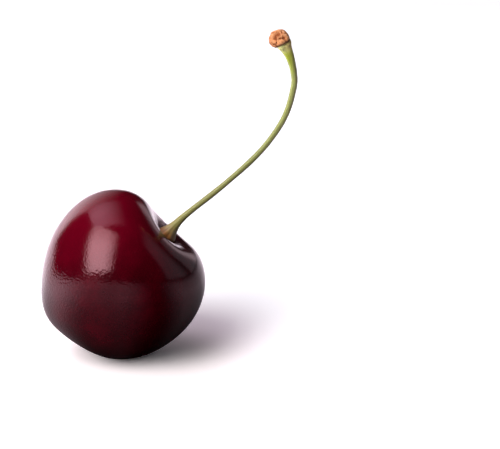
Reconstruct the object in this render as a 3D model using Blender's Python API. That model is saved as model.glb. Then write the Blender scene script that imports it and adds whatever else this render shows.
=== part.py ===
"""A ripe sweet cherry on its stalk, resting on its cheek.

Metres, +Z up. The origin is the centre of the small flat that the fruit rests on.
The fruit leans towards +X, so its stalk leaves it sideways and curves upright, and
the stalk ends in a dry knob of bud scales.
"""

import math

import bmesh
import bpy
from mathutils import Matrix, Vector
from mathutils.geometry import interpolate_bezier

# The fruit. Its own axis runs from its centre through the hollow that holds the stalk.
FRUIT_CENTRE = Vector((0.00015, 0.00010, 0.01322))
FRUIT_LEAN = math.radians(44)
FRUIT_TURN = math.radians(5)
FRUIT_RADIUS = 0.01333
FRUIT_THICKNESS = 0.93
FRUIT_TAPER = 0.00039
FRUIT_SQUARENESS = 0.00010
CHEEK_SWING = 0.00038
FRUIT_SIDES = 56
FRUIT_RINGS = 40

# Angles on the fruit are measured from its own axis, so the hollow is at 0.
HOLLOW_DEPTH = 0.0037
HOLLOW_SPREAD = 0.36
SHOULDER_AT = 0.5
SHOULDER_SPREAD = 0.35
BACK_SHOULDER_DIP = 0.00125
FRONT_SHOULDER_DIP = 0.00080
HEEL_BULGE = 0.00078
HEEL_AT = 2.92
HEEL_SPREAD = 0.36
HEEL_TAPER = 0.15
TIP_DIMPLE = 0.0010
TIP_SPREAD = 0.30

# The stalk, from the bottom of the hollow to just under its knob.
STALK_ROUTE = (
    (0.00687, 0.00070, 0.02020),
    (0.00893, 0.00080, 0.02192),
    (0.01077, 0.00095, 0.02366),
    (0.01676, 0.00160, 0.02845),
    (0.02236, 0.00240, 0.03364),
    (0.02599, 0.00260, 0.03897),
    (0.02748, 0.00230, 0.04410),
    (0.02747, 0.00190, 0.04684),
    (0.02686, 0.00150, 0.04945),
    (0.02600, 0.00120, 0.05145),
)
STALK_RADIUS = 0.00045
STALK_RINGS = 44
FOOT_RADIUS = 0.0015
FOOT_LENGTH = 0.0016
FOOT_ROUNDING = 0.0005
FOOT_UNDERSIDE = 0.55
HEAD_RADIUS = 0.00112
HEAD_LENGTH = 0.0013

# The knob of dry bud scales, which sits on the stalk's end and overhangs it on one side.
KNOB_RADIUS = 0.00160
KNOB_HEIGHT_RADIUS = 0.00135
KNOB_BASE_DROP = 0.00088
KNOB_OVERHANG = 0.00025
KNOB_LUMP = 0.07
KNOB_SIDES = 24
KNOB_RINGS = 14

GAP = 0.0003
REST_CUT_SIDE = 0.02
REST_CUT_DEPTH = 0.004


def clear_scene():
    for old in list(bpy.data.objects):
        bpy.data.objects.remove(old, do_unlink=True)


def new_collection(name):
    collection = bpy.data.collections.new(name)
    bpy.context.scene.collection.children.link(collection)
    return collection


def make_material(name, colour, roughness):
    material = bpy.data.materials.new(name)
    material.use_nodes = True
    shader = material.node_tree.nodes["Principled BSDF"]
    shader.inputs["Base Color"].default_value = (*colour, 1.0)
    shader.inputs["Roughness"].default_value = roughness
    shader.inputs["Metallic"].default_value = 0.0
    return material


def object_from_bmesh(name, bm, collection):
    mesh = bpy.data.meshes.new(name)
    bm.to_mesh(mesh)
    bm.free()
    mesh.shade_smooth()
    obj = bpy.data.objects.new(name, mesh)
    collection.objects.link(obj)
    return obj


def bump(value, middle, spread):
    """A smooth hill of height 1 at middle."""
    return math.exp(-(((value - middle) / spread) ** 2))


def fruit_radius(polar, around):
    """How far the skin lies from the fruit's centre, in the direction of two angles."""
    radius = FRUIT_RADIUS
    radius -= FRUIT_TAPER * math.cos(3 * polar)
    radius -= FRUIT_SQUARENESS * math.cos(4 * polar)
    radius -= CHEEK_SWING * math.sin(2 * polar) * math.cos(around)
    heel = bump(polar, HEEL_AT, HEEL_SPREAD) * math.tanh(math.sin(polar) / HEEL_TAPER)
    radius -= HEEL_BULGE * heel * math.cos(around)
    radius -= HOLLOW_DEPTH * bump(polar, 0.0, HOLLOW_SPREAD)
    radius -= TIP_DIMPLE * bump(polar, math.pi, TIP_SPREAD)
    dip = BACK_SHOULDER_DIP if math.sin(around) > 0 else FRONT_SHOULDER_DIP
    return radius - dip * bump(polar, SHOULDER_AT, SHOULDER_SPREAD) * math.sin(around) ** 2


def fruit_axes():
    """The fruit's right, back and axis directions, as the columns of a rotation."""
    axis = Vector(
        (
            math.sin(FRUIT_LEAN) * math.cos(FRUIT_TURN),
            math.sin(FRUIT_LEAN) * math.sin(FRUIT_TURN),
            math.cos(FRUIT_LEAN),
        )
    )
    back = Vector((0.0, 1.0, 0.0))
    back = (back - axis * back.dot(axis)).normalized()
    right = back.cross(axis)
    return Matrix((right, back, axis)).transposed()


def rest_cutter(collection):
    """The box under the table top, which flattens the skin where the fruit rests."""
    bm = bmesh.new()
    bmesh.ops.create_cube(bm, size=1.0)
    bmesh.ops.scale(bm, vec=(REST_CUT_SIDE, REST_CUT_SIDE, REST_CUT_DEPTH), verts=bm.verts)
    cutter = object_from_bmesh("rest_cut", bm, collection)
    cutter.location.z = -REST_CUT_DEPTH / 2
    cutter.hide_render = True
    cutter.display_type = "WIRE"
    return cutter


def build_fruit(collection, cutter):
    bm = bmesh.new()
    bmesh.ops.create_uvsphere(
        bm, u_segments=FRUIT_SIDES, v_segments=FRUIT_RINGS, radius=1.0
    )
    for vert in bm.verts:
        direction = vert.co.normalized()
        polar = math.acos(max(-1.0, min(1.0, direction.z)))
        around = math.atan2(direction.y, direction.x)
        vert.co = direction * fruit_radius(polar, around)
        vert.co.y *= FRUIT_THICKNESS
    fruit = object_from_bmesh("fruit", bm, collection)
    fruit.location = FRUIT_CENTRE
    fruit.rotation_euler = fruit_axes().to_euler()
    cut = fruit.modifiers.new("rest_flat", "BOOLEAN")
    cut.operation = "DIFFERENCE"
    cut.solver = "EXACT"
    cut.object = cutter
    fruit.data.materials.append(make_material("cherry_skin", (0.10, 0.002, 0.008), 0.15))
    return fruit


def smooth_route(corners, steps):
    """Points on a curve through the corners, with steps points between each two."""
    corners = [Vector(corner) for corner in corners]
    slopes = [corners[1] - corners[0]]
    for before, after in zip(corners, corners[2:]):
        slopes.append((after - before) / 2)
    slopes.append(corners[-1] - corners[-2])
    route = []
    for index in range(len(corners) - 1):
        start, end = corners[index], corners[index + 1]
        leave, arrive = start + slopes[index] / 3, end - slopes[index + 1] / 3
        route += interpolate_bezier(start, leave, arrive, end, steps)[:-1]
    return route + [corners[-1]]


def spaced_route(corners, rings):
    """Points along the route with their distance from its start, closer at both ends."""
    fine = smooth_route(corners, 60)
    travelled = [0.0]
    for before, after in zip(fine, fine[1:]):
        travelled.append(travelled[-1] + (after - before).length)
    length = travelled[-1]
    spaced = []
    index = 0
    for ring in range(rings + 1):
        wanted = length * (1 - math.cos(math.pi * ring / rings)) / 2
        while index < len(fine) - 2 and travelled[index + 1] < wanted:
            index += 1
        share = (wanted - travelled[index]) / (travelled[index + 1] - travelled[index])
        spaced.append((fine[index].lerp(fine[index + 1], min(share, 1.0)), wanted))
    return spaced, length


def stalk_radius(from_foot, from_head):
    """A slim stalk with a round flared foot, and a head that widens under the knob."""
    radius = STALK_RADIUS
    foot = (FOOT_RADIUS - STALK_RADIUS) * math.exp(-((from_foot / FOOT_LENGTH) ** 1.5))
    rounding = min(from_foot / FOOT_ROUNDING, 1.0)
    foot *= FOOT_UNDERSIDE + (1 - FOOT_UNDERSIDE) * math.sqrt(1 - (1 - rounding) ** 2)
    head = (HEAD_RADIUS - STALK_RADIUS) * math.exp(-from_head / HEAD_LENGTH)
    return radius + foot + head


def build_stalk(collection):
    curve = bpy.data.curves.new("stalk", "CURVE")
    curve.dimensions = "3D"
    curve.bevel_depth = 1.0
    curve.bevel_resolution = 3
    curve.use_fill_caps = True
    route, length = spaced_route(STALK_ROUTE, STALK_RINGS)
    spline = curve.splines.new("POLY")
    spline.points.add(len(route) - 1)
    spline.use_smooth = True
    for point, (place, from_foot) in zip(spline.points, route):
        point.co = (*place, 1.0)
        point.radius = stalk_radius(from_foot, length - from_foot)
    stalk = bpy.data.objects.new("stalk", curve)
    collection.objects.link(stalk)
    curve.materials.append(make_material("stalk_green", (0.32, 0.33, 0.09), 0.45))
    return stalk


def knob_radius(polar, around):
    """A rounded knob with a few broad lumps, as dried bud scales leave it."""
    lumps = math.sin(3 * around + 0.6) * math.sin(polar) ** 2
    lumps += 0.7 * math.sin(2 * around - 1.0) * math.sin(2 * polar)
    lumps += 0.5 * math.cos(5 * around + 2.0) * math.sin(polar) ** 3
    return 1.0 + KNOB_LUMP * lumps


def build_bud_scales(collection):
    bm = bmesh.new()
    bmesh.ops.create_uvsphere(bm, u_segments=KNOB_SIDES, v_segments=KNOB_RINGS, radius=1.0)
    for vert in bm.verts:
        direction = vert.co.normalized()
        polar = math.acos(max(-1.0, min(1.0, direction.z)))
        around = math.atan2(direction.y, direction.x)
        vert.co = direction * knob_radius(polar, around)
        vert.co.x *= KNOB_RADIUS
        vert.co.y *= KNOB_RADIUS
        vert.co.z = max(vert.co.z * KNOB_HEIGHT_RADIUS, -KNOB_BASE_DROP)
    knob = object_from_bmesh("bud_scales", bm, collection)
    end = Vector(STALK_ROUTE[-1])
    upward = (end - Vector(STALK_ROUTE[-2])).normalized()
    turn = upward.to_track_quat("Z", "Y")
    sideways = Vector((-1.0, 0.0, 0.0))
    sideways = (sideways - upward * sideways.dot(upward)).normalized()
    knob.rotation_euler = turn.to_euler()
    knob.location = end + upward * (GAP + KNOB_BASE_DROP) + sideways * KNOB_OVERHANG
    knob.data.materials.append(make_material("cork_brown", (0.55, 0.25, 0.11), 0.85))
    return knob


def main():
    clear_scene()
    parts = new_collection("cherry_on_stalk")
    cutters = new_collection("cutters")
    build_fruit(parts, rest_cutter(cutters))
    build_stalk(parts)
    build_bud_scales(parts)


main()
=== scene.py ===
# %% [markdown]
# # A ripe sweet cherry on its stalk
#
# A cherry looks simple, so its small truths carry it: the skin is a glossy wax film over dark
# red cells, the shoulders roll over into a hollow, and the green stalk swells where it joins
# the fruit and where it once joined the tree. The CAD model fixes where everything is. This
# lesson makes finer pieces that take the place of its three solids.

# %% Load the frame
import math

import bmesh
import bpy
from mathutils import Matrix, Vector, noise
from mathutils.geometry import interpolate_bezier


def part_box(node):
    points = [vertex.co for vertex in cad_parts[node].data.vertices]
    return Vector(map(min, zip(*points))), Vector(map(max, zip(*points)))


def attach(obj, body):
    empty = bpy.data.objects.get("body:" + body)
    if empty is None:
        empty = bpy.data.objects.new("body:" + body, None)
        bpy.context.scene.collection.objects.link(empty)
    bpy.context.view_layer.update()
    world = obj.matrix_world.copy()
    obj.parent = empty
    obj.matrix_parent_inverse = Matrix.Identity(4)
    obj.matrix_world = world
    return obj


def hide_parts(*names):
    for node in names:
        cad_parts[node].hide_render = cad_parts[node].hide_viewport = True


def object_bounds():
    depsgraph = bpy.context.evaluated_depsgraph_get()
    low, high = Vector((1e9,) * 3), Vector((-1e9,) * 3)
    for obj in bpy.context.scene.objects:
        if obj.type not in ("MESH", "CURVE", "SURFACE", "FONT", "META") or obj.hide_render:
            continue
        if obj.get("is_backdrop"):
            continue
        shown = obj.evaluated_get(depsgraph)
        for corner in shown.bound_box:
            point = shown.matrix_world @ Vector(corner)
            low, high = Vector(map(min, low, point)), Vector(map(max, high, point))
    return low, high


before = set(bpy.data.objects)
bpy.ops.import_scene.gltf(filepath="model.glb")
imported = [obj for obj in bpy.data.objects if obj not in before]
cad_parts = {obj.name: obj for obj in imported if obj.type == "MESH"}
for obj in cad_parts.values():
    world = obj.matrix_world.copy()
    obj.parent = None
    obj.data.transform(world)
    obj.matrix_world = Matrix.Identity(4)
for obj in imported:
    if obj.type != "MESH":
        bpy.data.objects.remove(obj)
cad_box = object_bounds()
MM = 0.001
for node in sorted(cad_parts):
    low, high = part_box(node)
    print(node, "is", [round(side / MM, 1) for side in high - low], "mm")

# %% [markdown]
# ## Four helpers
#
# Colours are easiest to judge as the hex values of a paint chart, but Blender's shaders work
# in linear light, so one function turns the first into the second. A second adds one shader
# node with its settings and links, and a third uses it to multiply two numbers. The last
# makes a finished mesh into an object that rides on the CAD body and stands for a CAD solid.


# %% Helpers
def colour(hex_value):
    """An sRGB hex colour as linear red, green, blue and alpha."""
    shares = [int(hex_value[at : at + 2], 16) / 255 for at in (1, 3, 5)]
    linear = [s / 12.92 if s <= 0.04045 else ((s + 0.055) / 1.055) ** 2.4 for s in shares]
    return (*linear, 1.0)


def add(tree, kind, inputs=None, stops=None, **settings):
    """Adds a node. An input's value is a number, a colour or another node's socket."""
    node = tree.nodes.new(kind)
    for name, value in settings.items():
        setattr(node, name, value)
    for socket, value in (inputs or {}).items():
        if isinstance(value, bpy.types.NodeSocket):
            tree.links.new(value, node.inputs[socket])
        else:
            node.inputs[socket].default_value = value
    if stops:
        ramp = node.color_ramp
        while len(ramp.elements) < len(stops):
            ramp.elements.new(1.0)
        for element, (place, value) in zip(ramp.elements, stops):
            element.position = place
            element.color = colour(value) if isinstance(value, str) else (value, value, value, 1)
    return node


def times(tree, first, second):
    """Multiplies two numbers, each a value or a socket, with a Math node."""
    return add(tree, "ShaderNodeMath", {0: first, 1: second}, operation="MULTIPLY").outputs[0]


def make_piece(name, bm, material, node):
    """Turns a bmesh in the CAD frame into a piece that stands for a CAD node."""
    bmesh.ops.recalc_face_normals(bm, faces=bm.faces)
    mesh = bpy.data.meshes.new(name)
    bm.to_mesh(mesh)
    bm.free()
    mesh.shade_smooth()
    mesh.materials.append(material)
    piece = bpy.data.objects.new(name, mesh)
    bpy.context.scene.collection.objects.link(piece)
    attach(piece, "root")
    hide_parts(node)
    print(name, "has", len(mesh.polygons), "faces")


# %% [markdown]
# ## The camera
#
# A long lens from half a metre away keeps the fruit's shape true, as a portrait lens does
# for a face. The camera looks down a little, so the hollow and the stalk's foot show.

# %% Camera
FRUIT_CENTRE = Vector((0.00015, 0.00010, 0.01322))
CAMERA_ELEVATION = math.radians(20)
CAMERA_DISTANCE = 0.5
AIM_RIGHT = 0.020488
AIM_UP = 0.008256
LENS_MM = 225
SENSOR_MM = 36

camera_back = Vector((0, -math.cos(CAMERA_ELEVATION), math.sin(CAMERA_ELEVATION)))
camera_up = Vector((0, math.sin(CAMERA_ELEVATION), math.cos(CAMERA_ELEVATION)))
aim = FRUIT_CENTRE + Vector((AIM_RIGHT, 0, 0)) + camera_up * AIM_UP
camera = bpy.data.objects.new("camera", bpy.data.cameras.new("camera"))
camera.data.lens = LENS_MM
camera.data.sensor_width = SENSOR_MM
camera.data.clip_start = 0.01
camera.data.clip_end = 10
camera.location = aim + camera_back * CAMERA_DISTANCE
camera.rotation_euler = (-camera_back).to_track_quat("-Z", "Y").to_euler()
bpy.context.scene.collection.objects.link(camera)
bpy.context.scene.camera = camera
print("camera at", [round(part, 3) for part in camera.location])

# %% [markdown]
# ## Soft light
#
# Gloss is only ever a picture of the lights, so the lights are placed for what the skin
# should show: one large soft box at the front left, a dimmer sheet overhead, a white
# backdrop behind on the left, and weak sheets and reflectors on the right and behind it.
# The room in front stays dark, which lets the red of the skin show between the
# reflections. A real soft box is brightest in its middle and fades at its edges, so each
# one here is a glowing sheet whose light fades towards each side by its own share.

# %% Lights
scene = bpy.context.scene
scene.view_settings.view_transform = "Standard"


def softbox(name, place, aim, size, radiance, fades, edges=(0, 0, 0, 0), tint="#ffffff", roll=0):
    """A glowing sheet. place and aim are from the fruit; sides go left, right, low, high.

    fades says how far in from each side the light has faded, as a share of the sheet, and
    edges how bright the very edge still is.
    """
    glow = bpy.data.materials.new(name + "_cloth")
    glow.use_nodes = True
    nodes = glow.node_tree
    nodes.nodes.clear()
    sheet_uv = add(nodes, "ShaderNodeUVMap", uv_map="sheet").outputs[0]
    across = add(nodes, "ShaderNodeSeparateXYZ", {0: sheet_uv})
    strength = radiance
    for side, (fade, edge) in enumerate(zip(fades, edges)):
        start = side % 2
        share = add(
            nodes,
            "ShaderNodeMapRange",
            {
                "Value": across.outputs[side // 2],
                "From Min": start,
                "From Max": abs(start - fade),
                "To Min": edge,
            },
            interpolation_type="SMOOTHSTEP",
        )
        strength = times(nodes, strength, share.outputs[0])
    light = add(nodes, "ShaderNodeEmission", {"Color": colour(tint), "Strength": strength})
    nothing = add(nodes, "ShaderNodeEmission", {"Strength": 0.0})
    back = add(nodes, "ShaderNodeNewGeometry").outputs["Backfacing"]
    sides = add(nodes, "ShaderNodeMixShader", {0: back, 1: nothing.outputs[0], 2: light.outputs[0]})
    add(nodes, "ShaderNodeOutputMaterial", {"Surface": sides.outputs[0]})
    bm = bmesh.new()
    bmesh.ops.create_grid(bm, x_segments=1, y_segments=1, size=0.5)
    uv = bm.loops.layers.uv.new("sheet")
    for face in bm.faces:
        for loop in face.loops:
            loop[uv].uv = (loop.vert.co.x + 0.5, loop.vert.co.y + 0.5)
    bmesh.ops.scale(bm, vec=(size[0], size[1], 1), verts=bm.verts)
    turn = (Vector(place) - Vector(aim)).to_track_quat("Z", "Y").to_matrix().to_4x4()
    spin = Matrix.Rotation(math.radians(roll), 4, "Z")
    move = Matrix.Translation(FRUIT_CENTRE + Vector(place))
    bmesh.ops.transform(bm, matrix=move @ turn @ spin, verts=bm.verts)
    mesh = bpy.data.meshes.new(name)
    bm.to_mesh(mesh)
    bm.free()
    mesh.materials.append(glow)
    sheet = bpy.data.objects.new(name, mesh)
    sheet.visible_camera = False
    scene.collection.objects.link(sheet)
    sheet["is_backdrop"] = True
    print(name, "is", size[0], "by", size[1], "m at", radiance)


softbox(
    "key_softbox",
    place=(-0.340, -0.371, 0.352),
    aim=(-0.016, -0.083, -0.072),
    size=(0.49, 0.70),
    radiance=8.3,
    fades=(0.24, 0.40, 0.05, 0.45),
    edges=(0.40, 0.40, 0.3, 0.60),
    roll=17,
)
softbox(
    "overhead_sheet",
    place=(-0.22, 0.28, 0.80),
    aim=(-0.22, 0.281, 0.0),
    size=(0.86, 0.88),
    radiance=2.9,
    fades=(0.05, 0.75, 0.10, 0.6),
    edges=(0.0, 0.0, 0.0, 0.5),
    tint="#f3e8f9",
    roll=8,
)
softbox(
    "backdrop",
    place=(-0.338, 0.84, 0.45),
    aim=(0.0, 0.0, 0.45),
    size=(0.925, 0.92),
    radiance=2.7,
    fades=(0.85, 0.16, 0.01, 1.0),
    edges=(0.0, 0.0, 1.0, 0.35),
    tint="#f4e7ef",
)
softbox(
    "right_sheet",
    place=(0.80, 0.0, 0.60),
    aim=(0.0, 0.0, 0.60),
    size=(0.92, 1.2),
    radiance=0.45,
    fades=(0.25, 0.45, 0.05, 0.4),
    tint="#e4f2fb",
)
softbox(
    "right_reflector",
    place=(0.645, 0.628, 0.28),
    aim=(0.0, 0.0, 0.28),
    size=(0.85, 0.57),
    radiance=0.33,
    fades=(0.2, 0.08, 0.05, 0.5),
    edges=(0.7, 0.0, 0.0, 0.0),
    tint="#eef0fa",
)
softbox(
    "back_reflector",
    place=(0.473, 0.766, 0.27),
    aim=(0.0, 0.0, 0.27),
    size=(0.36, 0.54),
    radiance=1.0,
    fades=(0.45, 0.35, 0.05, 0.3),
    tint="#f8e6ee",
)

# %% [markdown]
# ## The room and the table
#
# The world is dark for every ray but the camera's, which sees plain white paper. The table
# is white too. To the camera it shows its full white, and further off it brightens to the
# backdrop's white, as a paper sweep does where it curves up. To the fruit it shows painted
# light: bright at the left and back, as if the backdrop lit it, and painted dark in front,
# as a dark room would be, so the lower half of the skin keeps its depth.

# %% Room and table
TABLE_RADIUS = 1.2
TABLE_WHITE = 1.32
ROOM_GLOW = 0.01
# Under the fruit the table's colour is painted darker as shade, from one of these distances out to
# the other.
SHADE_INNER = 0.007
SHADE_OUTER = 0.050
# The paper round the fruit is painted pink, as painted red light thrown by the fruit, fading out
# between these two.
BOUNCE_INNER = 0.012
BOUNCE_OUTER = 0.035
# The paper brightens to the backdrop's white between these two.
SWEEP_START = 0.10
SWEEP_END = 0.35
TO_BACKDROP = Vector((-0.64, 0.77, 0.0))
# Left of this corner, between these two ways out of it, the table's colour is painted dark as
# shade.
UNLIT_CORNER = Vector((-0.091, 0.052, 0.0))
UNLIT_WAYS = (Vector((-0.8, 0.6, 0.0)), Vector((-0.56, -0.83, 0.0)))
UNLIT_SOFTNESS = 0.030

world = bpy.data.worlds.new("white_studio")
scene.world = world
world.use_nodes = True
sky = world.node_tree
sky.nodes.clear()
seen = add(sky, "ShaderNodeLightPath").outputs["Is Camera Ray"]
room = add(sky, "ShaderNodeBackground", {"Color": colour("#ffffff"), "Strength": ROOM_GLOW})
paper = add(sky, "ShaderNodeBackground", {"Color": colour("#ffffff"), "Strength": 1.0})
either = add(sky, "ShaderNodeMixShader", {0: seen, 1: room.outputs[0], 2: paper.outputs[0]})
add(sky, "ShaderNodeOutputWorld", {"Surface": either.outputs[0]})

table = bpy.data.materials.new("white_table_paper")
table.use_nodes = True
nodes = table.node_tree
nodes.nodes.clear()
place = add(nodes, "ShaderNodeTexCoord").outputs["Object"]
way = add(nodes, "ShaderNodeVectorMath", {0: place}, operation="NORMALIZE").outputs[0]
facing = add(nodes, "ShaderNodeVectorMath", {0: way, 1: TO_BACKDROP}, operation="DOT_PRODUCT")
facing_share = add(
    nodes,
    "ShaderNodeMapRange",
    {"Value": facing.outputs["Value"], "From Min": -1.0, "From Max": 1.0},
)
# Painted light: the table's colour seen by the fruit is brighter towards the backdrop and dark in
# front.
painted_floor_light = add(
    nodes,
    "ShaderNodeValToRGB",
    {"Fac": facing_share.outputs[0]},
    stops=[
        (0.0, 0.0),
        (0.045, 0.35),
        (0.115, 0.62),
        (0.21, 0.52),
        (0.454, 0.50),
        (0.585, 0.98),
        (0.709, 1.60),
        (0.82, 1.90),
        (0.91, 1.60),
        (0.97, 1.60),
        (1.0, 2.0),
    ],
)
distance = add(nodes, "ShaderNodeVectorMath", {0: place}, operation="LENGTH").outputs["Value"]
near = add(
    nodes,
    "ShaderNodeMapRange",
    {"Value": distance, "From Min": SHADE_INNER, "From Max": SHADE_OUTER, "To Min": 0.06},
)
from_corner = add(
    nodes,
    "ShaderNodeVectorMath",
    {0: place, 1: UNLIT_CORNER},
    operation="SUBTRACT",
)
unlit = 1.0
for edge_way in UNLIT_WAYS:
    beyond = add(
        nodes,
        "ShaderNodeVectorMath",
        {0: from_corner.outputs[0], 1: edge_way},
        operation="DOT_PRODUCT",
    )
    share = add(
        nodes,
        "ShaderNodeMapRange",
        {"Value": beyond.outputs["Value"], "From Min": 0.0, "From Max": UNLIT_SOFTNESS},
        interpolation_type="SMOOTHSTEP",
    )
    unlit = times(nodes, unlit, share.outputs[0])
still_lit = add(nodes, "ShaderNodeMath", {0: 1.0, 1: unlit}, operation="SUBTRACT").outputs[0]
both = times(nodes, near.outputs[0], still_lit)
paper_tint = add(
    nodes,
    "ShaderNodeVectorMath",
    {0: painted_floor_light.outputs["Color"], 1: colour("#f6ecf2")[:3]},
    operation="MULTIPLY",
)
dimmed = add(
    nodes,
    "ShaderNodeVectorMath",
    {0: paper_tint.outputs[0], "Scale": both},
    operation="SCALE",
)
to_fruit = add(nodes, "ShaderNodeBsdfDiffuse", {"Color": dimmed.outputs[0]})
# Painted reflected light: the paper near the fruit is tinted pink for the camera.
bounce_share = add(
    nodes,
    "ShaderNodeMapRange",
    {"Value": distance, "From Min": BOUNCE_INNER, "From Max": BOUNCE_OUTER},
    interpolation_type="SMOOTHSTEP",
)
painted_bounce = add(
    nodes,
    "ShaderNodeMix",
    {"Factor": bounce_share.outputs[0], 6: colour("#fff5f6"), 7: colour("#ffffff")},
    data_type="RGBA",
)
seen_white = add(
    nodes,
    "ShaderNodeVectorMath",
    {0: painted_bounce.outputs[2], "Scale": TABLE_WHITE},
    operation="SCALE",
)
to_camera = add(nodes, "ShaderNodeBsdfDiffuse", {"Color": seen_white.outputs[0]})
sweep_share = add(
    nodes,
    "ShaderNodeMapRange",
    {"Value": distance, "From Min": SWEEP_START, "From Max": SWEEP_END},
    interpolation_type="SMOOTHSTEP",
)
sweep = add(nodes, "ShaderNodeEmission", {"Color": colour("#ffffff"), "Strength": 1.0})
seen_paper = add(
    nodes,
    "ShaderNodeMixShader",
    {0: sweep_share.outputs[0], 1: to_camera.outputs[0], 2: sweep.outputs[0]},
)
seen = add(nodes, "ShaderNodeLightPath").outputs["Is Camera Ray"]
either = add(
    nodes,
    "ShaderNodeMixShader",
    {0: seen, 1: to_fruit.outputs[0], 2: seen_paper.outputs[0]},
)
add(nodes, "ShaderNodeOutputMaterial", {"Surface": either.outputs[0]})

bm = bmesh.new()
bmesh.ops.create_circle(bm, cap_ends=True, radius=TABLE_RADIUS, segments=96)
floor_mesh = bpy.data.meshes.new("floor")
bm.to_mesh(floor_mesh)
bm.free()
floor_mesh.materials.append(table)
floor = bpy.data.objects.new("floor", floor_mesh)
scene.collection.objects.link(floor)
floor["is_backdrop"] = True
print("the table is", 2 * TABLE_RADIUS, "m across")

# %% [markdown]
# ## The cherry's form
#
# A cherry is a sphere that has been told a few things: the shoulders are squarer, one cheek
# is fuller, the stalk's end is drawn in to a hollow, and the tip has a dimple. Polar
# formulas say each of these in one line. The formulas and sizes are the CAD model's own, so
# the skin lies where its solid lies.

# %% Form
FRUIT_LEAN = math.radians(44)
FRUIT_TURN = math.radians(5)
FRUIT_RADIUS = 0.01333
FRUIT_THICKNESS = 0.93
FRUIT_TAPER = 0.00039
FRUIT_SQUARENESS = 0.00010
CHEEK_SWING = 0.00038
HOLLOW_DEPTH = 0.0037
HOLLOW_SPREAD = 0.36
SHOULDER_AT = 0.5
SHOULDER_SPREAD = 0.35
BACK_SHOULDER_DIP = 0.00125
FRONT_SHOULDER_DIP = 0.00080
HEEL_BULGE = 0.00078
HEEL_AT = 2.92
HEEL_SPREAD = 0.36
HEEL_TAPER = 0.15
TIP_DIMPLE = 0.0010
TIP_SPREAD = 0.30


def bump(value, middle, spread):
    """A smooth hill of height 1 at middle."""
    return math.exp(-(((value - middle) / spread) ** 2))


def fruit_radius(polar, around):
    """How far the skin lies from the fruit's centre. The hollow is at polar 0."""
    radius = FRUIT_RADIUS
    radius -= FRUIT_TAPER * math.cos(3 * polar)
    radius -= FRUIT_SQUARENESS * math.cos(4 * polar)
    radius -= CHEEK_SWING * math.sin(2 * polar) * math.cos(around)
    heel = bump(polar, HEEL_AT, HEEL_SPREAD) * math.tanh(math.sin(polar) / HEEL_TAPER)
    radius -= HEEL_BULGE * heel * math.cos(around)
    radius -= HOLLOW_DEPTH * bump(polar, 0.0, HOLLOW_SPREAD)
    radius -= TIP_DIMPLE * bump(polar, math.pi, TIP_SPREAD)
    dip = BACK_SHOULDER_DIP if math.sin(around) > 0 else FRONT_SHOULDER_DIP
    return radius - dip * bump(polar, SHOULDER_AT, SHOULDER_SPREAD) * math.sin(around) ** 2


def fruit_axes():
    """The fruit's right, back and axis directions, as the columns of a rotation."""
    flat = Vector((math.cos(FRUIT_TURN), math.sin(FRUIT_TURN), 0))
    axis = flat * math.sin(FRUIT_LEAN) + Vector((0, 0, math.cos(FRUIT_LEAN)))
    back = Vector((0, 1, 0))
    back = (back - axis * back.dot(axis)).normalized()
    right = back.cross(axis)
    return Matrix((right, back, axis)).transposed()


fruit_place = Matrix.Translation(FRUIT_CENTRE) @ fruit_axes().to_4x4()
print("the hollow is", round((FRUIT_RADIUS - fruit_radius(0, 0)) / MM, 1), "mm under the ball")

# %% [markdown]
# ## The skin's small unevenness
#
# No grown skin is a perfect surface. Real cherries swell a little unevenly, so the edge of a
# reflection wavers, a shallow seam runs down the back from the hollow to the tip, and the
# skin puckers round the stalk. All three are real shape, cut in hundredths of a millimetre,
# because a bump map can't bend an outline or a reflection as a whole.

# %% Fruit mesh
SWELL = 0.035 * MM
SWELL_SIZE = 6.5 * MM
SEAM_DEPTH = 0.10 * MM
SEAM_AROUND = math.pi / 2
SEAM_WIDTH = 0.045
PUCKER = 0.05 * MM
PUCKER_AT = 0.16
PUCKER_SPREAD = 0.13
PUCKERS = 13
FRUIT_SIDES = 256
FRUIT_RINGS = 160


def skin_radius(polar, around, direction):
    """The fruit's radius with its unevenness."""
    radius = fruit_radius(polar, around)
    radius += SWELL * noise.noise(direction * (FRUIT_RADIUS / SWELL_SIZE) + Vector((3, 1, 7)))
    radius -= SEAM_DEPTH * bump(around, SEAM_AROUND, SEAM_WIDTH) * math.sin(polar) ** 2
    fold = math.sin(PUCKERS * around + 2 * math.sin(around))
    return radius + PUCKER * bump(polar, PUCKER_AT, PUCKER_SPREAD) * fold


bm = bmesh.new()
bmesh.ops.create_uvsphere(bm, u_segments=FRUIT_SIDES, v_segments=FRUIT_RINGS, radius=1.0)
fruit_spot = bm.verts.layers.float_vector.new("fruit_spot")
for vert in bm.verts:
    direction = vert.co.normalized()
    polar = math.acos(max(-1.0, min(1.0, direction.z)))
    around = math.atan2(direction.y, direction.x)
    vert.co = direction * skin_radius(polar, around, direction)
    vert.co.y *= FRUIT_THICKNESS
    vert[fruit_spot] = vert.co / MM
bmesh.ops.transform(bm, matrix=fruit_place, verts=bm.verts)
for vert in bm.verts:
    vert.co.z = max(vert.co.z, 0.0)

skin = bpy.data.materials.new("cherry_skin_waxed")
make_piece("cherry_fruit", bm, skin, "fruit")

# %% [markdown]
# ## Cherry skin: wax over dark red cells
#
# The colour sits under the surface. The outer cells hold red pigment so dense that the fruit
# looks burgundy, nearly black where it turns from the light. Cloudy patches and lengthwise
# streaks vary it, the upper shoulder is painted a brighter crimson as painted light from
# above, and there are pale breathing pores about 0.2 mm wide. The wax over them is smooth, so
# the gloss is sharp, but its cell pattern breaks up the edges of a reflection like the peel of an
# orange.
# Real skin cells are 0.05 mm, too fine to show, so they're drawn about 0.3 mm wide.

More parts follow.
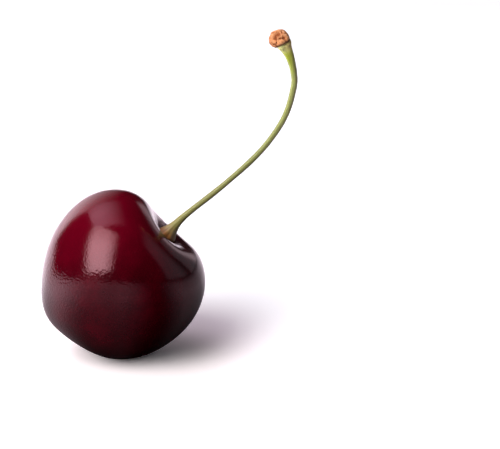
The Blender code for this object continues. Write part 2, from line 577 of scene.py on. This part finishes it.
# %% Cherry skin
# Painted light: the skin facing this way, up and a little left, is mixed towards a brighter
# crimson.
PAINTED_LIGHT_WAY = Vector((-0.27, 0.0, 0.96))
PAINTED_LIGHT_FROM = 15.5 * MM
PAINTED_LIGHT_TO = 27.5 * MM
PAINTED_LIGHT_SHARE = 0.6
PEEL_DEPTH = 0.015 * MM
CELL_DEPTH = 0.029 * MM

skin.use_nodes = True
nodes = skin.node_tree
shader = nodes.nodes["Principled BSDF"]
spot = add(nodes, "ShaderNodeAttribute", attribute_name="fruit_spot").outputs["Vector"]
cloud = add(
    nodes,
    "ShaderNodeTexNoise",
    {"Vector": spot, "Scale": 0.22, "Detail": 5.0, "Roughness": 0.62},
)
base = add(
    nodes,
    "ShaderNodeValToRGB",
    {"Fac": cloud.outputs["Fac"]},
    stops=[(0.32, "#280004"), (0.50, "#340007"), (0.68, "#42000b")],
)
stretch = add(nodes, "ShaderNodeMapping", {"Vector": spot, "Scale": (1.0, 1.0, 0.12)})
streak = add(
    nodes,
    "ShaderNodeTexNoise",
    {"Vector": stretch.outputs[0], "Scale": 1.1, "Detail": 2.0},
)
streak_share = add(
    nodes,
    "ShaderNodeMapRange",
    {"Value": streak.outputs["Fac"], "From Min": 0.45, "From Max": 0.8, "To Max": 0.45},
)
streaked = add(
    nodes,
    "ShaderNodeMix",
    {"Factor": streak_share.outputs[0], 6: base.outputs["Color"], 7: colour("#2c0007")},
    data_type="RGBA",
)
where = add(nodes, "ShaderNodeTexCoord").outputs["Object"]
# Painted light from above: the higher the skin lies along this way, the more crimson is mixed in.
toward_painted_light = add(
    nodes,
    "ShaderNodeVectorMath",
    {0: where, 1: PAINTED_LIGHT_WAY},
    operation="DOT_PRODUCT",
)
painted_light_share = add(
    nodes,
    "ShaderNodeMapRange",
    {
        "Value": toward_painted_light.outputs["Value"],
        "From Min": PAINTED_LIGHT_FROM,
        "From Max": PAINTED_LIGHT_TO,
        "To Max": PAINTED_LIGHT_SHARE,
    },
)
painted_light_mixed = add(
    nodes,
    "ShaderNodeMix",
    {"Factor": painted_light_share.outputs[0], 6: streaked.outputs[2], 7: colour("#74001a")},
    data_type="RGBA",
)
pore = add(nodes, "ShaderNodeTexVoronoi", {"Vector": spot, "Scale": 0.95, "Randomness": 1.0})
pore_share = add(
    nodes,
    "ShaderNodeMapRange",
    {
        "Value": pore.outputs["Distance"],
        "From Min": 0.06,
        "From Max": 0.13,
        "To Min": 0.16,
        "To Max": 0.0,
    },
)
dotted = add(
    nodes,
    "ShaderNodeMix",
    {"Factor": pore_share.outputs[0], 6: painted_light_mixed.outputs[2], 7: colour("#7a2830")},
    data_type="RGBA",
)
peel = add(
    nodes,
    "ShaderNodeTexNoise",
    {"Vector": spot, "Scale": 1.9, "Detail": 3.0, "Roughness": 0.6},
)
peel_bump = add(
    nodes,
    "ShaderNodeBump",
    {"Height": peel.outputs["Fac"], "Strength": 1.0, "Distance": PEEL_DEPTH},
)
cells = add(
    nodes,
    "ShaderNodeTexVoronoi",
    {"Vector": spot, "Scale": 3.2, "Randomness": 1.0},
    feature="SMOOTH_F1",
)
# The cells show least at the stalk's end, where the skin is stretched smooth.
along_fruit = add(nodes, "ShaderNodeSeparateXYZ", {0: spot}).outputs["Z"]
rough_side = add(
    nodes,
    "ShaderNodeMapRange",
    {"Value": along_fruit, "From Min": 8.0, "From Max": -4.0},
)
cell_bump = add(
    nodes,
    "ShaderNodeBump",
    {
        "Height": cells.outputs["Distance"],
        "Strength": rough_side.outputs[0],
        "Distance": CELL_DEPTH,
        "Normal": peel_bump.outputs[0],
    },
)
nodes.links.new(dotted.outputs[2], shader.inputs["Base Color"])
nodes.links.new(cell_bump.outputs[0], shader.inputs["Normal"])
shader.inputs["Roughness"].default_value = 0.13
shader.inputs["IOR"].default_value = 1.5
shader.inputs["Specular Tint"].default_value = colour("#ffbec9")
print("cherry skin has", len(nodes.nodes), "nodes")

# %% [markdown]
# ## The stalk's route
#
# The stalk leaves the hollow sideways and bends up towards the light it grew in. Its route
# is the CAD model's list of points, except that the first lies a little deeper, because the
# grown stalk runs into the fruit where the CAD solids keep a gap. A smooth curve through
# them gives as many rings as the mesh needs.

# %% Stalk route
STALK_ROUTE = (
    (0.00715, 0.00062, 0.01985),
    (0.00893, 0.00080, 0.02192),
    (0.01077, 0.00095, 0.02366),
    (0.01676, 0.00160, 0.02845),
    (0.02236, 0.00240, 0.03364),
    (0.02599, 0.00260, 0.03897),
    (0.02748, 0.00230, 0.04410),
    (0.02747, 0.00190, 0.04684),
    (0.02686, 0.00150, 0.04945),
    (0.02600, 0.00120, 0.05145),
)
STALK_RINGS = 300
FINE_STEPS = 200


def smooth_route(corners, steps):
    """Points on a curve through the corners, with steps points between each two."""
    corners = [Vector(corner) for corner in corners]
    slopes = [corners[1] - corners[0]]
    for before, after in zip(corners, corners[2:]):
        slopes.append((after - before) / 2)
    slopes.append(corners[-1] - corners[-2])
    route = []
    for index in range(len(corners) - 1):
        start, end = corners[index], corners[index + 1]
        leave, arrive = start + slopes[index] / 3, end - slopes[index + 1] / 3
        route += interpolate_bezier(start, leave, arrive, end, steps)[:-1]
    return route + [corners[-1]]


def spaced_route(corners, rings):
    """Points along the route with their distance from its start, closer at both ends."""
    fine = smooth_route(corners, FINE_STEPS)
    travelled = [0.0]
    for before, after in zip(fine, fine[1:]):
        travelled.append(travelled[-1] + (after - before).length)
    length = travelled[-1]
    spaced = []
    index = 0
    for ring in range(rings + 1):
        wanted = length * (1 - math.cos(math.pi * ring / rings)) / 2
        while index < len(fine) - 2 and travelled[index + 1] < wanted:
            index += 1
        share = (wanted - travelled[index]) / (travelled[index + 1] - travelled[index])
        spaced.append((fine[index].lerp(fine[index + 1], min(share, 1.0)), wanted))
    return spaced, length


route, stalk_length = spaced_route(STALK_ROUTE, STALK_RINGS)
print("the stalk is", round(stalk_length / MM, 1), "mm long")

# %% [markdown]
# ## The stalk
#
# A cherry stalk is a wire-thin stem with a swollen, ribbed foot where the fruit hung on it
# and a flared head where it sat on the twig. A ring of edges is extruded along the route,
# and each new ring is reshaped: wider at the ends, ribbed at the foot, and with the faint
# grooves and swellings that drying gives the shaft. The foot sinks into the skin, and the
# head rises into the knob, most at the front, where the knob's lip arches over it.

# %% Stalk mesh
STALK_RADIUS = 0.00045
FOOT_RADIUS = 0.0016
FOOT_LENGTH = 0.0016
FOOT_ROUNDING = 0.0005
FOOT_UNDERSIDE = 0.55
HEAD_RADIUS = 0.00112
HEAD_LENGTH = 0.0014
HEAD_RISE = 0.0003
HEAD_ARCH = 0.00055
ARCH_WAY = Vector((0.05, -1.0, 0.0)).normalized()
FOOT_SINK = 0.0006
FOOT_SWELL = 0.00014
FOOT_SWELL_LENGTH = 0.006
HEAD_SWELL = 0.00010
HEAD_SWELL_LENGTH = 0.008
FOOT_RIBS = 10
RIB_LENGTH = 0.0019
RIB_DEPTH = 0.08
HEAD_LUMP = 0.05
HEAD_LUMP_LENGTH = 0.0018
SHAFT_SWELL = 0.06
SHAFT_SWELL_SIZE = 0.004
ROUGHNESS = 0.03
ROUGHNESS_SIZE = 0.0006
STALK_SIDES = 64
# The stalk's side facing this way, down and to the right, is painted darker as shade.
PAINTED_SHADE_WAY = Vector((0.75, -0.1, -0.65)).normalized()


def stalk_radius(from_foot, from_head):
    """A slim stalk with a round flared foot, and a head that widens under the knob."""
    foot = (FOOT_RADIUS - STALK_RADIUS) * math.exp(-((from_foot / FOOT_LENGTH) ** 1.5))
    rounding = min(from_foot / FOOT_ROUNDING, 1.0)
    foot *= FOOT_UNDERSIDE + (1 - FOOT_UNDERSIDE) * math.sqrt(1 - (1 - rounding) ** 2)
    head = (HEAD_RADIUS - STALK_RADIUS) * math.exp(-from_head / HEAD_LENGTH)
    thicker = HEAD_SWELL * math.exp(-from_head / HEAD_SWELL_LENGTH)
    thicker += FOOT_SWELL * bump(from_foot, 0.0, FOOT_SWELL_LENGTH)
    return STALK_RADIUS + foot + head + thicker


def foot_groove(from_foot, around):
    """How deep in a groove between two of the foot's ribs this place is, from 0 to 1."""
    valley = 1.0 - abs(math.sin(FOOT_RIBS / 2 * around + 0.4))
    return valley**1.5 * bump(from_foot, 0.0, RIB_LENGTH)


def stalk_surface(from_foot, around):
    """How much a rib, groove or swelling changes the stalk's radius, as a share."""
    ribs = RIB_DEPTH * foot_groove(from_foot, around)
    head = HEAD_LUMP * bump(stalk_length - from_foot, 0.0, HEAD_LUMP_LENGTH)
    head *= math.sin(5 * around + 1.0)
    grooves = 0.035 * math.sin(3 * around + 0.4) + 0.02 * math.sin(7 * around + 1.9)
    swell = SHAFT_SWELL * noise.noise(Vector((from_foot / SHAFT_SWELL_SIZE, 2.0, 5.0)))
    grain = Vector((math.cos(around), math.sin(around), from_foot / ROUGHNESS_SIZE))
    return 1.0 - ribs + head + grooves + swell + ROUGHNESS * noise.noise(grain)


def ring_place(index):
    """The centre, and the two directions across, of one ring of the stalk."""
    place = route[index][0]
    before = route[max(index - 1, 0)][0]
    after = route[min(index + 1, STALK_RINGS)][0]
    forward = (after - before).normalized()
    across = Vector((0, 1, 0))
    across = (across - forward * across.dot(forward)).normalized()
    return place, forward, across, forward.cross(across)


bm = bmesh.new()
from_foot_layer = bm.verts.layers.float.new("from_foot")
painted_shade_layer = bm.verts.layers.float.new("painted_shade_side")
groove_layer = bm.verts.layers.float.new("foot_groove")
spot_layer = bm.verts.layers.float_vector.new("stalk_spot")
first = bmesh.ops.create_circle(bm, cap_ends=False, radius=1.0, segments=STALK_SIDES)["verts"]


def shape_ring(verts, index):
    """Moves one ring of vertices to its place on the stalk."""
    place, forward, across, down = ring_place(index)
    from_foot = route[index][1]
    if index == 0:
        place = place - forward * FOOT_SINK
    for side, vert in enumerate(verts):
        around = 2 * math.pi * side / STALK_SIDES
        radius = stalk_radius(from_foot, stalk_length - from_foot)
        radius *= stalk_surface(from_foot, around)
        way = across * math.cos(around) + down * math.sin(around)
        vert.co = place + way * radius
        if index == STALK_RINGS:
            vert.co += forward * (HEAD_RISE + HEAD_ARCH * max(0.0, way.dot(ARCH_WAY)))
        vert[from_foot_layer] = from_foot / MM
        # How far this place faces the painted shade's way, kept for the stalk's painted shade.
        vert[painted_shade_layer] = 0.5 + 0.5 * way.dot(PAINTED_SHADE_WAY)
        vert[groove_layer] = foot_groove(from_foot, around)
        vert[spot_layer] = Vector((math.cos(around), math.sin(around), from_foot / MM))


shape_ring(first, 0)
ring_edges = list(bm.edges)
verts = first
for index in range(1, STALK_RINGS + 1):
    grown = bmesh.ops.extrude_edge_only(bm, edges=ring_edges)["geom"]
    ring_edges = [part for part in grown if isinstance(part, bmesh.types.BMEdge)]
    new_verts = {part for part in grown if isinstance(part, bmesh.types.BMVert)}
    linked = []
    for vert in verts:
        ends = [edge.other_vert(vert) for edge in vert.link_edges]
        linked.append(next(end for end in ends if end in new_verts))
    verts = linked
    ring_edges = [edge for edge in ring_edges if all(end in new_verts for end in edge.verts)]
    shape_ring(verts, index)
bmesh.ops.holes_fill(bm, edges=[edge for edge in bm.edges if edge.is_boundary], sides=0)

green = bpy.data.materials.new("cherry_stalk_fresh")
make_piece("cherry_stalk", bm, green, "stalk")

# %% [markdown]
# ## Stalk skin
#
# A picked stalk is olive green, yellower towards the twig, pale where it was hidden under
# the bud scales, and orange brown round the foot, where it has begun to let the fruit go. The
# colours follow the length, so they're read from an attribute that holds the distance from
# the foot. The side facing down and right is painted darker as shade, olive brown, tan at the
# head; the foot's grooves get painted shade too, and freckles and fine lengthwise fibres break the
# green up.

# %% Stalk skin
FIBRE_DEPTH = 0.02 * MM

green.use_nodes = True
nodes = green.node_tree
shader = nodes.nodes["Principled BSDF"]
along = add(nodes, "ShaderNodeAttribute", attribute_name="from_foot").outputs["Fac"]
shade_facing = add(nodes, "ShaderNodeAttribute", attribute_name="painted_shade_side").outputs["Fac"]
place = add(nodes, "ShaderNodeAttribute", attribute_name="stalk_spot").outputs["Vector"]
length_share = add(
    nodes,
    "ShaderNodeMapRange",
    {"Value": along, "From Max": stalk_length / MM},
)
lengthwise = add(
    nodes,
    "ShaderNodeValToRGB",
    {"Fac": length_share.outputs[0]},
    stops=[
        (0.0, "#8a4a20"),
        (0.014, "#c07838"),
        (0.034, "#b89a64"),
        (0.06, "#9c9250"),
        (0.12, "#8c884e"),
        (0.45, "#8c8e50"),
        (0.75, "#9ea25e"),
        (0.86, "#b0b668"),
        (0.93, "#b0bc44"),
        (0.955, "#c0cc40"),
        (0.968, "#ccd458"),
        (0.982, "#e8ec8c"),
        (1.0, "#f2f09c"),
    ],
)
fibre_map = add(nodes, "ShaderNodeMapping", {"Vector": place, "Scale": (3.2, 3.2, 0.5)})
fibre = add(
    nodes,
    "ShaderNodeTexNoise",
    {"Vector": fibre_map.outputs[0], "Scale": 1.0, "Detail": 4.0, "Roughness": 0.6},
)
fibre_colour = add(
    nodes,
    "ShaderNodeMapRange",
    {
        "Value": fibre.outputs["Fac"],
        "From Min": 0.3,
        "From Max": 0.7,
        "To Min": 0.78,
        "To Max": 1.18,
    },
)
fibrous = add(
    nodes,
    "ShaderNodeMix",
    {"Factor": 1.0, 6: lengthwise.outputs["Color"], 7: fibre_colour.outputs[0]},
    data_type="RGBA",
    blend_type="MULTIPLY",
)
# Painted shade: the side facing down and right is mixed towards olive brown, and towards tan at the
# head.
shade = add(
    nodes,
    "ShaderNodeMapRange",
    {"Value": shade_facing, "From Min": 0.55, "From Max": 0.92, "To Max": 0.85},
)
shade_and_tan_colour = add(
    nodes,
    "ShaderNodeValToRGB",
    {"Fac": length_share.outputs[0]},
    stops=[
        (0.0, "#6a4a20"),
        (0.05, "#544818"),
        (0.12, "#2e240c"),
        (0.45, "#4c4426"),
        (0.65, "#847c54"),
        (0.94, "#968c5c"),
        (0.968, "#b09c50"),
        (0.982, "#f0b868"),
        (1.0, "#eca858"),
    ],
)
shaded = add(
    nodes,
    "ShaderNodeMix",
    {"Factor": shade.outputs[0], 6: fibrous.outputs[2], 7: shade_and_tan_colour.outputs["Color"]},
    data_type="RGBA",
)
# Painted shade: the deeper a place lies in a groove between the foot's ribs, the more dark brown is
# mixed in.
groove = add(nodes, "ShaderNodeAttribute", attribute_name="foot_groove").outputs["Fac"]
groove_shade_share = add(
    nodes,
    "ShaderNodeMapRange",
    {"Value": groove, "From Max": 0.8, "To Max": 0.4},
)
groove_shaded = add(
    nodes,
    "ShaderNodeMix",
    {"Factor": groove_shade_share.outputs[0], 6: shaded.outputs[2], 7: colour("#4a2c10")},
    data_type="RGBA",
)
freckle = add(nodes, "ShaderNodeTexVoronoi", {"Vector": fibre_map.outputs[0], "Scale": 1.3})
freckle_share = add(
    nodes,
    "ShaderNodeMapRange",
    {
        "Value": freckle.outputs["Distance"],
        "From Min": 0.05,
        "From Max": 0.18,
        "To Min": 0.6,
        "To Max": 0.0,
    },
)
freckled = add(
    nodes,
    "ShaderNodeMix",
    {"Factor": freckle_share.outputs[0], 6: groove_shaded.outputs[2], 7: colour("#7c5a2c")},
    data_type="RGBA",
)
fibre_bump = add(
    nodes,
    "ShaderNodeBump",
    {"Height": fibre.outputs["Fac"], "Strength": 1.0, "Distance": FIBRE_DEPTH},
)
nodes.links.new(freckled.outputs[2], shader.inputs["Base Color"])
nodes.links.new(fibre_bump.outputs[0], shader.inputs["Normal"])
shader.inputs["Roughness"].default_value = 0.45
shader.inputs["IOR"].default_value = 1.45
print("stalk skin has", len(nodes.nodes), "nodes")

# %% [markdown]
# ## The knob of bud scales
#
# Where the stalk broke from the twig, a corky knob stays on it: dried bud scales grown
# together into lumps with dark cracks and pits between them. A ball is the right start,
# because a cell pattern can push its lumps out and leave the cracks behind. Its underside
# is cut off where it meets the stalk: higher at the front, and drooping at the left.

# %% Knob mesh
KNOB_RADIUS = 0.00160
KNOB_HEIGHT_RADIUS = 0.00142
KNOB_BASE_DROP = 0.00088
KNOB_BASE_LIFT = 0.00055
KNOB_LIP_DROOP = 0.00030
DROOP_WAY = Vector((-1.0, -0.35, 0.0)).normalized()
KNOB_OVERHANG = 0.00025
KNOB_LUMP = 0.06
KNOB_LOBE = 0.12
KNOB_LOBE_SPREAD = 0.5
GAP = 0.0003
LUMP_SIZE = 0.00135
CRACK_WIDTH = 0.22
CRACK_DEPTH = 0.05
PIT_DEPTH = 0.15
LIP_HEIGHT = 0.0005
KNOB_SEED = 6
KNOB_SIDES = 160
KNOB_RINGS = 96
# Right, up and width of each pit, in knob radii, on the side that faces the front.
PITS = (
    (-0.20, 0.52, 0.20),
    (-0.40, 0.38, 0.20),
    (-0.54, 0.18, 0.19),
    (-0.60, -0.04, 0.17),
    (-0.62, 0.72, 0.12),
    (-0.08, -0.02, 0.15),
    (0.06, 0.05, 0.13),
    (0.36, 0.10, 0.15),
    (-0.40, -0.42, 0.18),
    (-0.52, -0.66, 0.16),
    (0.16, 0.74, 0.13),
)


def knob_radius(direction):
    """A rounded knob with a few broad lumps, as dried bud scales leave it."""
    polar = math.acos(max(-1.0, min(1.0, direction.z)))
    around = math.atan2(direction.y, direction.x)
    lumps = math.sin(3 * around + 0.6) * math.sin(polar) ** 2
    lumps += 0.7 * math.sin(2 * around - 1.0) * math.sin(2 * polar)
    lumps += 0.5 * math.cos(5 * around + 2.0) * math.sin(polar) ** 3
    lobe = bump((direction - lobe_way).length, 0.0, KNOB_LOBE_SPREAD)
    return 1.0 + KNOB_LUMP * lumps + KNOB_LOBE * lobe


def knob_place():
    """Where the knob sits, with its axis along the stalk's end."""
    end = Vector(STALK_ROUTE[-1])
    upward = (end - Vector(STALK_ROUTE[-2])).normalized()
    sideways = Vector((-1.0, 0.0, 0.0))
    sideways = (sideways - upward * sideways.dot(upward)).normalized()
    spot = end + upward * (GAP + KNOB_BASE_DROP) + sideways * KNOB_OVERHANG
    return Matrix.Translation(spot) @ upward.to_track_quat("Z", "Y").to_matrix().to_4x4()


knob_axes = knob_place().to_3x3()
lobe_way = (camera_up * 0.66 + camera_back * 0.2 - Vector((0.72, 0, 0))).normalized()
lobe_way = knob_axes.transposed() @ lobe_way
pit_ways = []
for right, up, width in PITS:
    toward = math.sqrt(1 - right**2 - up**2)
    way = Vector((right, 0, 0)) + camera_up * up + camera_back * toward
    pit_ways.append((knob_axes.transposed() @ way, width))


def pitted(direction):
    """How deep in a pit or crack a place on the knob is, from 0 to 1."""
    deepest = 0.0
    for way, width in pit_ways:
        deepest = max(deepest, bump((direction - way).length, 0.0, width))
    return deepest


bm = bmesh.new()
bmesh.ops.create_uvsphere(bm, u_segments=KNOB_SIDES, v_segments=KNOB_RINGS, radius=1.0)
crack_layer = bm.verts.layers.float.new("crack")
lip_layer = bm.verts.layers.float.new("lip")
knob_spot = bm.verts.layers.float_vector.new("knob_spot")
# Without a seed, noise_vector starts from the clock, and every run gives another knob.
noise.seed_set(KNOB_SEED)
for vert in bm.verts:
    direction = vert.co.normalized()
    cell = direction * (KNOB_RADIUS / LUMP_SIZE)
    cell += 0.3 * noise.noise_vector(cell * 1.5)
    distances = noise.voronoi(cell)[0]
    crack = bump(distances[1] - distances[0], 0.0, CRACK_WIDTH)
    pit = pitted(direction + 0.16 * noise.noise_vector(direction * 3.0))
    fine = noise.noise(direction * 5.0) * 0.035 + noise.noise(direction * 12.0) * 0.012
    relief = 1.03 - CRACK_DEPTH * crack - PIT_DEPTH * pit + fine
    vert.co = direction * knob_radius(direction) * relief
    vert.co.x *= KNOB_RADIUS
    vert.co.y *= KNOB_RADIUS
    outward = knob_axes @ Vector((direction.x, direction.y, 0.0))
    base = -KNOB_BASE_DROP + KNOB_BASE_LIFT * max(0.0, outward.dot(ARCH_WAY))
    base -= KNOB_LIP_DROOP * max(0.0, outward.dot(DROOP_WAY)) ** 2
    vert.co.z = max(vert.co.z * KNOB_HEIGHT_RADIUS, base)
    vert[crack_layer] = min(1.0, 0.45 * crack + pit)
    vert[lip_layer] = 1.0 - (vert.co.z - base) / LIP_HEIGHT
    vert[knob_spot] = vert.co / MM
bmesh.ops.transform(bm, matrix=knob_place(), verts=bm.verts)
cork = bpy.data.materials.new("bud_scale_cork")
make_piece("bud_scale_knob", bm, cork, "bud_scales")

# %% [markdown]
# ## Bud-scale cork
#
# Dry cork scatters light and has no shine. It's orange tan on the lumps, where the skin has
# worn through, reddish brown down in the cracks, and dark along the lip over the stalk. The
# crack and lip attributes were saved while the shape was made, so colour and shape agree.

# %% Cork
GRAIN_DEPTH = 0.035 * MM

cork.use_nodes = True
nodes = cork.node_tree
shader = nodes.nodes["Principled BSDF"]
crack = add(nodes, "ShaderNodeAttribute", attribute_name="crack").outputs["Fac"]
place = add(nodes, "ShaderNodeAttribute", attribute_name="knob_spot").outputs["Vector"]
grain = add(
    nodes,
    "ShaderNodeTexNoise",
    {"Vector": place, "Scale": 3.0, "Detail": 5.0, "Roughness": 0.65},
)
tan = add(
    nodes,
    "ShaderNodeValToRGB",
    {"Fac": grain.outputs["Fac"]},
    stops=[(0.3, "#c67a48"), (0.5, "#e49a64"), (0.7, "#f4bc90")],
)
cracked = add(
    nodes,
    "ShaderNodeMix",
    {"Factor": crack, 6: tan.outputs["Color"], 7: colour("#8c4618")},
    data_type="RGBA",
)
lip = add(nodes, "ShaderNodeAttribute", attribute_name="lip").outputs["Fac"]
lip_share = add(
    nodes,
    "ShaderNodeMapRange",
    {"Value": lip, "To Max": 0.9},
    interpolation_type="SMOOTHSTEP",
)
lipped = add(
    nodes,
    "ShaderNodeMix",
    {"Factor": lip_share.outputs[0], 6: cracked.outputs[2], 7: colour("#56341c")},
    data_type="RGBA",
)
grain_bump = add(
    nodes,
    "ShaderNodeBump",
    {"Height": grain.outputs["Fac"], "Strength": 1.0, "Distance": GRAIN_DEPTH},
)
nodes.links.new(lipped.outputs[2], shader.inputs["Base Color"])
nodes.links.new(grain_bump.outputs[0], shader.inputs["Normal"])
shader.inputs["Roughness"].default_value = 0.85
print("cork has", len(nodes.nodes), "nodes")

# %% [markdown]
# ## Size and finish
#
# The last step prints how far the finished box reaches past the CAD model's box on each
# side, so that anything that grew past the model's outline shows up as a number.

# %% Finish
visual_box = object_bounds()
for axis, low, high, cad_low, cad_high in zip("xyz", *visual_box, *cad_box):
    grown = [round(part / MM, 2) for part in (cad_low - low, high - cad_high)]
    print(axis, "grew by", grown, "mm")
